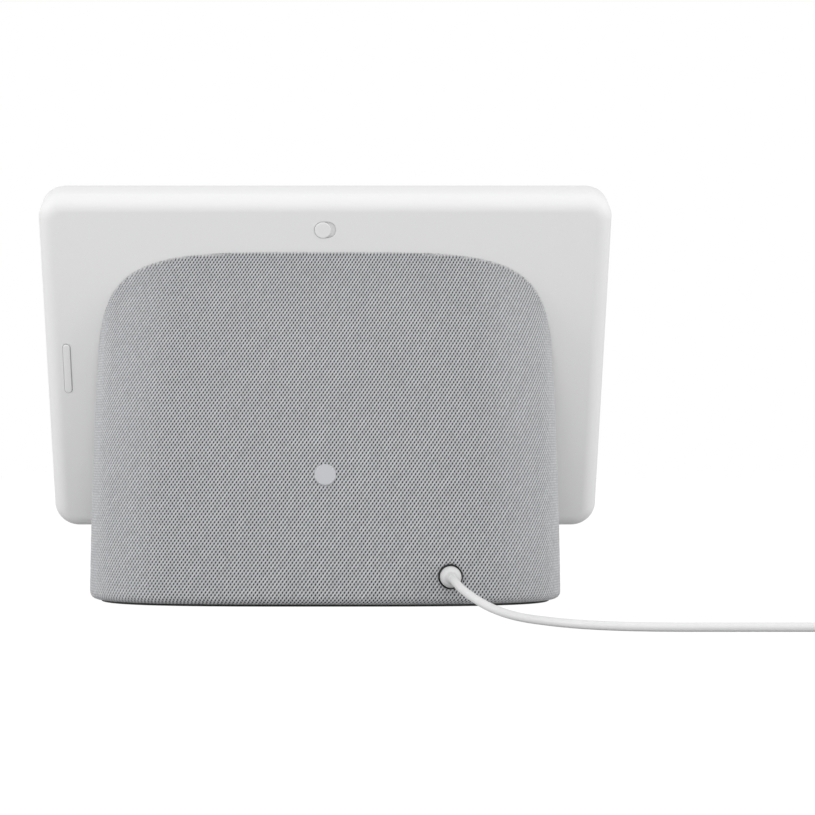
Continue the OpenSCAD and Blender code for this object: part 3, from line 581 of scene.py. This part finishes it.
# Painted side light: the holes' painted shade fades to half round the two narrow ends.
column = add(tree, MATH, {0: stitch_a, 1: stitch_b}, operation="ADD")
angle = add(tree, MATH, {0: column, 1: math.pi / stitches}, operation="MULTIPLY")
sideways = add(tree, MATH, {0: angle}, operation="SINE")
narrow_end = add(tree, MATH, {0: sideways}, operation="ABSOLUTE")
strength = add(tree, RANGE, {"Value": narrow_end, "From Min": SIDE_LIGHT_FROM, "From Max": SIDE_LIGHT_TO,
               "To Min": 1.0, "To Max": HOLE_SHADE_AT_SIDES}, interpolation_type="SMOOTHSTEP")
hole_shade = add(tree, MATH, {0: gap, 1: strength}, operation="MULTIPLY")
top_yarn = add(tree, RANGE, {"Value": wave_b, "From Min": 0.35, "From Max": -0.7},
               interpolation_type="SMOOTHSTEP")
under_yarn = add(tree, RANGE, {"Value": wave_a, "From Min": 0.3, "From Max": -0.8},
                 interpolation_type="SMOOTHSTEP")

# One random value for each stitch of thread, and a slow one that runs along the thread.
stitch_x = add(tree, MATH, {0: stitch_a}, operation="ROUND")
stitch_y = add(tree, MATH, {0: stitch_b}, operation="FLOOR")
stroke = add(tree, "ShaderNodeCombineXYZ", {"X": stitch_x, "Y": stitch_y})
each = add(tree, "ShaderNodeTexWhiteNoise", {"Vector": stroke}, noise_dimensions="2D")
run = add(tree, "ShaderNodeMapping", {"Vector": uv, "Scale": (0.06, 0.55, 1.0)})
slow = add(tree, "ShaderNodeTexNoise", {"Vector": run, "Scale": 1.0, "Detail": 2.0}, noise_dimensions="2D")
base = add(tree, MATH, {0: slow, 1: 0.3, 2: 0.2}, operation="MULTIPLY_ADD")
bright = add(tree, MATH, {0: each, 1: 0.3, 2: base}, operation="MULTIPLY_ADD")
share = add(tree, MATH, {0: top_yarn, 1: bright}, operation="MULTIPLY")
yarn = add(tree, "ShaderNodeMix", {"Factor": share, "A": toLinear("#a3a4a7"), "B": toLinear("#dcdddf")},
           data_type="RGBA")
# Painted shade: the holes are painted near black, partly the dark inside seen through the knit and partly
# the shade in each hole.
cloth = add(tree, "ShaderNodeMix", {"Factor": hole_shade, "A": yarn.outputs["Result"],
            "B": toLinear("#2b2c2f")}, data_type="RGBA")
tree.links.new(cloth.outputs["Result"], shader.inputs["Base Color"])
sunk = add(tree, MATH, {0: hole_shade, 1: -0.8}, operation="MULTIPLY")
lower = add(tree, MATH, {0: under_yarn, 1: 0.3, 2: sunk}, operation="MULTIPLY_ADD")
height = add(tree, MATH, {0: top_yarn, 1: 0.6, 2: lower}, operation="MULTIPLY_ADD")
bump = add(tree, "ShaderNodeBump", {"Height": height, "Distance": 0.12 * MM, "Strength": 0.7})
tree.links.new(bump.outputs["Normal"], shader.inputs["Normal"])
sleeve_piece.data.materials.append(knit)
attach(sleeve_piece, "unit")
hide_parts("fabric_sleeve")
print("knit nodes:", len(tree.nodes))

# %% [markdown]
# ## The display's rear shell
# One moulding makes the slab's back and sides. Its outline is a rounded rectangle, and its rear edge
# rolls over in a quarter circle. Two slots open in its flat back, for the microphone switch and the
# volume rocker. Each slot has a small rounded lip, which is what catches the light.

# %% Rear shell
ROLL_R, CORNER_R = 7 * MM, 11 * MM
KNOB_D, KNOB_TRAVEL, ROCKER_L, ROCKER_W = 7.2 * MM, 2 * MM, 23.2 * MM, 3.2 * MM
LIP_R, SLOT_DEPTH = 0.3 * MM, 0.75 * MM


def slab_outline(inset):
    ring = rounded_outline(SLAB_W, SLAB_H, CORNER_R, inset, corner_points=20, side_points=16)
    return ring + [0, SLAB_H / 2]


def slot_outline(length, width, x, s, upright=False):
    """A stadium; the inset is negative outwards, where its lip meets the flat."""
    def outline(inset):
        size = (width, length) if upright else (length, width)
        return rounded_outline(*size, width / 2, inset, corner_points=16) + [x, s]
    return outline


BORDER, KNOB_GAP, ROCKER_GAP = 0.1 * MM, 0.2 * MM, (0.3 * MM, 0.24 * MM)
skin = np.concatenate([
    [[RIM_W - 0.15 * MM, GLASS_T - HALF_T]], [[RIM_W - 0.15 * MM, 0.9 * MM - HALF_T]],
    [[1.1 * MM, 0.5 * MM - HALF_T], [0.9 * MM, 0.4 * MM - HALF_T]],
    [[0.5 * MM, 0.4 * MM - HALF_T], [0.15 * MM, 0.55 * MM - HALF_T], [0, 0.9 * MM - HALF_T]],
    [[0, HALF_T - ROLL_R]], arc(0, 90, ROLL_R, (ROLL_R, HALF_T - ROLL_R), 16)[1:],
    [[ROLL_R + BORDER, HALF_T]]])
slots = [slot_outline(KNOB_D + KNOB_TRAVEL + KNOB_GAP, KNOB_D + KNOB_GAP, 0, knob_s),
         slot_outline(ROCKER_L + ROCKER_GAP[0], ROCKER_W + ROCKER_GAP[1], rocker_x, rocker_s, upright=True)]
lip_turn = np.radians(np.linspace(0, 90, 6))
lip_curve = np.stack([-LIP_R * (1 - np.sin(lip_turn)), HALF_T - LIP_R * (1 - np.cos(lip_turn))], axis=-1)
lip = np.concatenate([[[-LIP_R - BORDER, HALF_T]], lip_curve, [[0, HALF_T - SLOT_DEPTH]]])
grids = [carried(slab_outline, skin)] + [carried(slot, lip) for slot in slots]
MERGE = 1e-6
points, faces, loops, start = [], [], [], 0
for grid in grids:
    rows, cols = grid.shape[:2]
    points.append(grid.reshape(-1, 3))
    faces.append(grid_faces(rows, cols, close_cols=True) + start)
    edge_row = 0 if loops else rows - 1
    edge = grid[edge_row]
    step = np.linalg.norm(np.diff(edge, axis=0, append=edge[:1]), axis=1)
    loops.append((start + edge_row * cols + np.arange(cols))[step > MERGE])
    start += rows * cols
points = np.concatenate(points)
filled = tessellate_polygon([[Vector(points[i][[0, 2, 1]]) for i in loop] for loop in loops])
cap = np.concatenate(loops)[np.array(filled)]
shell = mesh_object("rear_shell", on_display(points), [*np.concatenate(faces), *cap])
work = bmesh.new()
work.from_mesh(shell.data)
bmesh.ops.remove_doubles(work, verts=work.verts, dist=MERGE)
bmesh.ops.recalc_face_normals(work, faces=work.faces)
broadest = max(work.faces, key=lambda f: f.calc_area())
if broadest.normal.dot(Vector(normals[0])) < 0:
    bmesh.ops.reverse_faces(work, faces=work.faces)
work.to_mesh(shell.data)
work.free()
shell.data.shade_smooth()
shell.data.materials.append(satin_white)
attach(shell, "unit")
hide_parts("display_shell")
print("rear shell:", len(shell.data.polygons), "faces")

# %% [markdown]
# ## The two controls
# The microphone switch is a round button on a small slider plate; the plate closes the slot from
# behind and shows beside the button as a shallow grey crescent. The volume rocker is a long pill that
# tips on a pin. Both are outlines carried over a rounded edge.

# %% Microphone switch and volume rocker
knob_x = KNOB_TRAVEL / 2
PROUD = 0.5 * MM
PLATE_BACK = HALF_T - SLOT_DEPTH - 0.05 * MM


def button_profile(radius, bottom, top, edge, dish=0.0):
    """Up the side, round the edge in a quarter circle, and in to the middle, with a faint dish or crown."""
    inner = np.linspace(edge, radius, 6)[1:]
    level = top + dish * ((inner - edge) / (radius - edge)) ** 2
    return np.concatenate([[[0, bottom]], arc(0, 90, edge, (edge, top - edge), 7),
                           np.stack([inner, level], axis=-1)])


def pill(name, length, width, x, s, bottom, edge, crown, upright=False):
    """A stadium carried up a button's profile, so that its top closes on a line or a point."""
    outline = slot_outline(length, width, x, s, upright)
    rows = carried(outline, button_profile(width / 2, bottom, HALF_T + PROUD, edge, crown))
    cols = rows.shape[1]
    faces = [*grid_faces(*rows.shape[:2], close_cols=True), range(cols)]
    return outward(mesh_object(name, on_display(rows), faces), 1e-6)


button = pill("microphone_button", KNOB_D, KNOB_D, knob_x, knob_s, PLATE_BACK - 0.5 * MM, 0.35 * MM,
              -0.06 * MM)
plate_rows = carried(lambda inset: rounded_outline(14 * MM, 10 * MM, 1.2 * MM, inset) + [knob_x, knob_s],
                     [[0.2 * MM, PLATE_BACK - MM], [0, PLATE_BACK - 0.8 * MM], [0, PLATE_BACK - 0.15 * MM],
                      [0.15 * MM, PLATE_BACK]])
slider = closed_piece("microphone_slider_plate", plate_rows, on_display)
rocker = pill("volume_rocker_cap", ROCKER_L, ROCKER_W, rocker_x, rocker_s, 5.7 * MM, 0.45 * MM,
              0.05 * MM, upright=True)
rocker_bar = closed_piece("volume_rocker_bar", carried(
    lambda inset: rounded_outline(5.4 * MM, 20 * MM, 0.6 * MM, inset) + [rocker_x, rocker_s],
    [[0.1 * MM, 5.7 * MM], [0, 5.8 * MM], [0, 6.5 * MM], [0.1 * MM, 6.6 * MM]]), on_display)
for made, body in ((button, "mute_slider"), (slider, "mute_slider"), (rocker, "volume_key"),
                   (rocker_bar, "volume_key")):
    made.data.materials.append(control_white)
    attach(made, body)
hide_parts("mute_knob")
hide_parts("volume_rocker")
print("controls at s = %.1f and %.1f mm" % (knob_s / MM, rocker_s / MM))

# %% [markdown]
# ## The badge
# A plain disc, moulded with a softly rounded rim, is pressed into the cloth. It lies in the wall's
# own lean, so its profile is built facing back and tipped by the lean at its height.

# %% Badge
badge_z = 56 * MM
tip = wall_lean(badge_z)


def on_wall(local):
    """Points (x, y out of the wall, up the wall) tipped back by the wall's lean."""
    x, y, s = np.moveaxis(np.asarray(local, float), -1, 0)
    return np.stack([x, back_wall(badge_z) + y * math.cos(tip) - s * math.sin(tip),
                     badge_z + y * math.sin(tip) + s * math.cos(tip)], axis=-1)


BADGE_D = 9.3 * MM
rows = carried(lambda inset: rounded_outline(BADGE_D, BADGE_D, BADGE_D / 2, inset, corner_points=16),
               np.concatenate([[[0, -1.1 * MM]], arc(0, 90, 0.35 * MM, (0.35 * MM, 0.2 * MM), 7),
                               [[1.2 * MM, 0.56 * MM], [2.4 * MM, 0.57 * MM], [BADGE_D / 2, 0.58 * MM]]]))
badge = outward(mesh_object("plain_badge", on_wall(rows),
                            [*grid_faces(*rows.shape[:2], close_cols=True), range(rows.shape[1])]), 1e-6)
badge.data.materials.append(badge_grey)
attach(badge, "unit")
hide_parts("rear_badge")
print("badge %.1f mm across, tipped by %.1f degrees" % (BADGE_D / MM, math.degrees(tip)))

# %% [markdown]
# ## The inlet, the grip and the lead
# A black ring lines the inlet; its black is partly its own plastic and partly painted shade in the gap
# round the grip. The plug's grip is a soft white dome that narrows to a sleeve round
# the lead, so that the lead can't be bent sharply where it comes out. All three are turned shapes: a
# circle carried along a profile that points back.

# %% Turned pieces
def turned(name, radii_and_depths, place, points_round=64):
    """A circle of each radius at each depth. The first and last rows close the piece."""
    r, y = np.asarray(radii_and_depths, float).T
    a = np.linspace(0, 2 * math.pi, points_round, endpoint=False)
    rows = np.stack([r[:, None] * np.cos(a), y[:, None] + 0 * a, r[:, None] * np.sin(a)], axis=-1)
    return outward(mesh_object(name, place(rows), grid_faces(*rows.shape[:2], close_cols=True)), 1e-7)


def at_inlet(local):
    return np.asarray(local) + [inlet[0], 0, inlet[2]]


# Painted shade: the ring's near black stands partly for the shade in the gap round the grip.
inlet_ring_and_gap_shade = turned("inlet_ring_and_gap_shade", np.array([
    [4.75, 41.6], [4.75, 48.2], [4.85, 48.5], [5.1, 48.55], [5.22, 48.4], [5.22, 41.6], [4.75, 41.6]]) * MM,
    at_inlet)
inlet_ring_and_gap_shade.data.materials.append(black_abs)
grip = turned("plug_grip", np.array([
    [0, 41.7], [4.3, 41.7], [4.5, 41.9], [4.5, 50.6], [4.46, 51.6], [4.34, 52.5], [4.12, 53.4],
    [3.8, 54.2], [3.42, 54.85], [3.05, 55.3], [2.72, 55.75], [2.48, 56.3], [2.32, 57.1], [2.2, 58.2],
    [2.1, 59.6], [2.0, 61.2], [1.9, 61.8], [1.72, 61.95], [0, 61.95]]) * MM, at_inlet, 48)
grip.data.materials.append(grip_white)
cord_data = bpy.data.curves.new("power_lead", "CURVE")
cord_data.dimensions = "3D"
cord_data.bevel_depth = LEAD_D / 2
cord_data.bevel_resolution = 4
cord_data.use_fill_caps = True
spline = cord_data.splines.new("POLY")
spline.points.add(len(cord_line) - 1)
spline.points.foreach_set("co", np.hstack([cord_line, np.ones((len(cord_line), 1))]).ravel())
spline.use_smooth = True
lead = bpy.data.objects.new("power_lead", cord_data)
bpy.context.scene.collection.objects.link(lead)
cord_data.materials.append(pvc_white)

# %% [markdown]
# ## The mains adapter
# It is a rounded square block in two halves, welded along a fine groove. The lead enters through a
# ribbed relief, and two nickel plated blades come out at the other end.

# %% Adapter and strain relief
adapter_low, adapter_high = (np.array(c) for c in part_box("power_adapter"))
adapter_centre = (adapter_low + adapter_high) / 2
ADAPTER_T, BLOCK_R, EDGE_R = adapter_high[2] - adapter_low[2], 10 * MM, 4 * MM


def at_adapter(local):
    """The block's profile runs up, so depth becomes height."""
    x, depth, y = np.moveaxis(np.asarray(local, float), -1, 0)
    return np.stack([x + adapter_centre[0], y + adapter_centre[1], depth], axis=-1)


seam = ADAPTER_T * 0.72
wall = np.concatenate([arc(-90, 0, EDGE_R, (EDGE_R, EDGE_R), 10),
                       [[0, seam - 0.35 * MM], [0.1 * MM, seam - 0.25 * MM], [0.35 * MM, seam],
                        [0.1 * MM, seam + 0.25 * MM], [0, seam + 0.35 * MM]],
                       arc(0, 90, EDGE_R, (EDGE_R, ADAPTER_T - EDGE_R), 10)])
block_rows = carried(lambda inset: rounded_outline(
    adapter_high[0] - adapter_low[0], adapter_high[1] - adapter_low[1], BLOCK_R, inset, 14, 6), wall)
adapter = closed_piece("mains_adapter", block_rows, at_adapter)
adapter.data.materials.append(adapter_white)
relief_low, relief_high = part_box("adapter_relief")
relief_middle = middle("adapter_relief")
t = np.linspace(0, 1, 49)
taper = 3.2 * MM - 1.15 * MM * t - 0.22 * MM * (np.abs(np.sin(6 * math.pi * t)) < 0.45)
relief_profile = np.stack([taper, relief_low.y - 0.3 * MM + (relief_high.y - relief_low.y + 0.3 * MM) * t],
                          axis=-1)
relief_profile = np.vstack([[0, relief_profile[0, 1]], relief_profile, [0, relief_profile[-1, 1]]])
relief = turned("adapter_strain_relief", relief_profile,
                lambda p: np.asarray(p) + [relief_middle[0], 0, relief_middle[2]], 40)
relief.data.materials.append(grip_white)

for made, node, slot in ((inlet_ring_and_gap_shade, "jack_ring", "jack_plastic"), (grip, "plug_boot", "cable_pvc"),
                         (adapter, "power_adapter", "adapter_plastic"),
                         (relief, "adapter_relief", "cable_pvc")):
    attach(made, "unit")
    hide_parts(node)
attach(lead, "unit")
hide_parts("cord_lead", "cord_coil", "cord_tail")
print("adapter %.0f mm square" % ((adapter_high[0] - adapter_low[0]) / MM))

# %% [markdown]
# ## The front glass
# One sheet of glass covers the front. Its edge is ground round. Behind it a pale border is printed,
# with clear windows for the camera and the light sensor, and the rest is clear over the dark screen.
# The print is painted by where a point lies on the sheet: the map undoes the lean, so it reads x and s.

# %% Cover glass
GLASS_R = CORNER_R - RIM_W
glass_w, glass_h = SLAB_W - 2 * RIM_W, SLAB_H - 2 * RIM_W
ground = np.concatenate([[[0.05 * MM, GLASS_T - HALF_T], [0, GLASS_T - 0.1 * MM - HALF_T]],
                         arc(0, 90, 0.5 * MM, (0.5 * MM, -0.5 * MM), 7) * [1, -1] + [0, -HALF_T]])
glass_rows = carried(lambda inset: rounded_outline(glass_w, glass_h, GLASS_R, inset, 20, 12)
                     + [0, SLAB_H / 2], ground)
glass = closed_piece("cover_glass_sheet", glass_rows, on_display)
front_glass, tree, shader = new_material("glass_printed_border", "#0c0d0f", 0.06, Coat_Weight=0.6,
                                   Coat_Roughness=0.03)
place = add(tree, "ShaderNodeTexCoord").outputs["Object"]
moved = add(tree, "ShaderNodeVectorMath", {0: place, 1: (0, slab_y, slab_z)}, operation="SUBTRACT")
upright = add(tree, "ShaderNodeMapping", {"Vector": moved.outputs["Vector"], "Rotation": (LEAN, 0, 0)})
where = add(tree, "ShaderNodeSeparateXYZ", {"Vector": upright.outputs["Vector"]})
ACTIVE_W, ACTIVE_H, ACTIVE_S = 217 * MM, 136 * MM, 78.5 * MM


def inside(value, centre_at, half, soft=0.05 * MM):
    """1 where value is within half of the centre, 0 beyond it."""
    gap = add(tree, MATH, {0: value, 1: centre_at}, operation="SUBTRACT")
    away = add(tree, MATH, {0: gap}, operation="ABSOLUTE")
    return add(tree, RANGE, {"Value": away, "From Min": half + soft, "From Max": half - soft})


def round_window(x_at, s_at, radius):
    """1 where the distance from the middle, by Pythagoras, is within the radius."""
    squares = []
    for axis, at in (("X", x_at), ("Z", s_at)):
        gap = add(tree, MATH, {0: where.outputs[axis], 1: at}, operation="SUBTRACT")
        squares.append(add(tree, MATH, {0: gap, 1: gap}, operation="MULTIPLY"))
    total = add(tree, MATH, {0: squares[0], 1: squares[1]}, operation="ADD")
    return inside(add(tree, MATH, {0: total}, operation="SQRT"), 0.0, radius)


screen = add(tree, MATH, {0: inside(where.outputs["X"], 0.0, ACTIVE_W / 2),
             1: inside(where.outputs["Z"], ACTIVE_S, ACTIVE_H / 2)}, operation="MULTIPLY")
eyes = add(tree, MATH, {0: round_window(0.0, 154 * MM, 2.6 * MM),
           1: round_window(14 * MM, 154 * MM, 1.3 * MM)}, operation="MAXIMUM")
clear = add(tree, MATH, {0: screen, 1: eyes}, operation="MAXIMUM")
print_grain = add(tree, "ShaderNodeTexNoise", {"Vector": object_scaled(tree, 1.2 * MM), "Scale": 1.0})
ink = add(tree, "ShaderNodeMix", {"Factor": print_grain.outputs["Fac"], "A": toLinear("#e0e0e0"),
          "B": toLinear("#e5e5e5")}, data_type="RGBA")
front = add(tree, "ShaderNodeMix", {"Factor": clear, "A": ink.outputs["Result"],
            "B": toLinear("#0c0d0f")}, data_type="RGBA")
tree.links.new(front.outputs["Result"], shader.inputs["Base Color"])
glass.data.materials.append(front_glass)
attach(glass, "unit")
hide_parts("cover_glass")
print("glass %.1f by %.1f mm" % (glass_w / MM, glass_h / MM))

# %% [markdown]
# ## Pieces kept as the CAD made them
# The rest keep their CAD shapes, and each gets the material of the real piece.

# %% Materials for the kept pieces
KEPT = {
    panel_dark: ["lcd_panel"], tray_sheet: ["backlight_tray"],
    black_abs: ["display_frame", "camera_module", "light_sensor", "mute_lever", "neck_frame",
                "speaker_box", "woofer_baffle", "tweeter_left_frame", "tweeter_right_frame", "dc_jack"],
    board_green: ["sensor_board", "volume_board", "main_board", "jack_board"],
    lens_glass: ["camera_lens"], gold_can: ["microphones"], cream_abs: ["mute_switch"],
    zinc_sheet: ["rocker_bracket", "board_shield", "woofer_basket"], copper_film: ["antennas"],
    cast_alloy: ["neck_bracket", "heat_spreader"],
    dark_screw: ["neck_screws", "display_screws", "board_screws", "base_screws"],
    amber_film: ["display_flex"], grey_nylon: ["fabric_carrier", "base_plate"], ferrite: ["woofer_magnet"],
    butyl: ["woofer_surround"], pulp_cone: ["woofer_cone"], copper_wire: ["woofer_coil"],
    silk_dome: ["tweeter_left_dome", "tweeter_right_dome"], foot_rubber_and_shade: ["rubber_foot"],
    nickel: ["dc_plug", "adapter_prongs"], strap_velour: ["coil_tie"]}
for material, names in KEPT.items():
    for name in names:
        nodes[name].data.materials.clear()
        nodes[name].data.materials.append(material)
print("kept pieces:", sum(len(v) for v in KEPT.values()))

# %% [markdown]
# ## Studio
# A product picture on white is lit by a large soft key light, behind the camera and a little above
# it. Two more light the sides, and a faint one overhead lights the top of the slab. White walls fill
# the shadows. The floor and the room are kept pure white where the camera sees them, while the light
# that they throw back at the object is weaker. A retoucher does the same by cutting the object out.

# %% Floor and light
FLOOR = 3.0
ROOM_FILL, PAPER_SHOWN = 0.82, 0.9
floor = mesh_object("studio_floor", [(-FLOOR, -FLOOR, -0.0002), (FLOOR, -FLOOR, -0.0002),
                                     (FLOOR, FLOOR, -0.0002), (-FLOOR, FLOOR, -0.0002)], [(0, 1, 2, 3)])
paper, tree, shader = new_material("studio_paper_white", "#bcbcbc", 0.9)
seen = add(tree, "ShaderNodeLightPath").outputs["Is Camera Ray"]
glow = add(tree, "ShaderNodeEmission", {"Color": (1, 1, 1, 1), "Strength": 1.1})
share = add(tree, MATH, {0: seen, 1: PAPER_SHOWN}, operation="MULTIPLY")
lit_paper = add(tree, "ShaderNodeMixShader", {0: share, 1: shader, 2: glow})
tree.links.new(lit_paper.outputs["Shader"], tree.nodes["Material Output"].inputs["Surface"])
floor.data.materials.append(paper)

world = bpy.data.worlds.new("studio_room")
world.use_nodes = True
tree = world.node_tree
seen = add(tree, "ShaderNodeLightPath").outputs["Is Camera Ray"]
strength = add(tree, MATH, {0: seen, 1: 1.0 - ROOM_FILL, 2: ROOM_FILL}, operation="MULTIPLY_ADD")
tree.links.new(strength.outputs[0], tree.nodes["Background"].inputs["Strength"])
tree.nodes["Background"].inputs["Color"].default_value = (1, 1, 1, 1)
bpy.context.scene.world = world
bpy.context.scene.view_settings.view_transform = "Standard"


def soft_light(name, size, power, location, target):
    """A rectangle of light that faces its target."""
    data = bpy.data.lights.new(name, "AREA")
    data.shape, data.size, data.size_y, data.energy = "RECTANGLE", *size, power
    made = bpy.data.objects.new(name, data)
    made.location = location
    made.rotation_euler = (Vector(target) - Vector(location)).to_track_quat("-Z", "Y").to_euler()
    bpy.context.scene.collection.objects.link(made)


LIT_POINT = (0, 0.05, 0.09)
soft_light("key_softbox", (1.0, 0.7), 4.6, (0.12, 1.3, 0.62), LIT_POINT)
soft_light("overhead_softbox", (0.9, 0.5), 0.5, (0, 0.4, 1.25), LIT_POINT)
for side in (-1, 1):
    soft_light("side_softbox", (1.0, 1.0), 6.0, (side * 1.2, 0.4, 0.45), LIT_POINT)
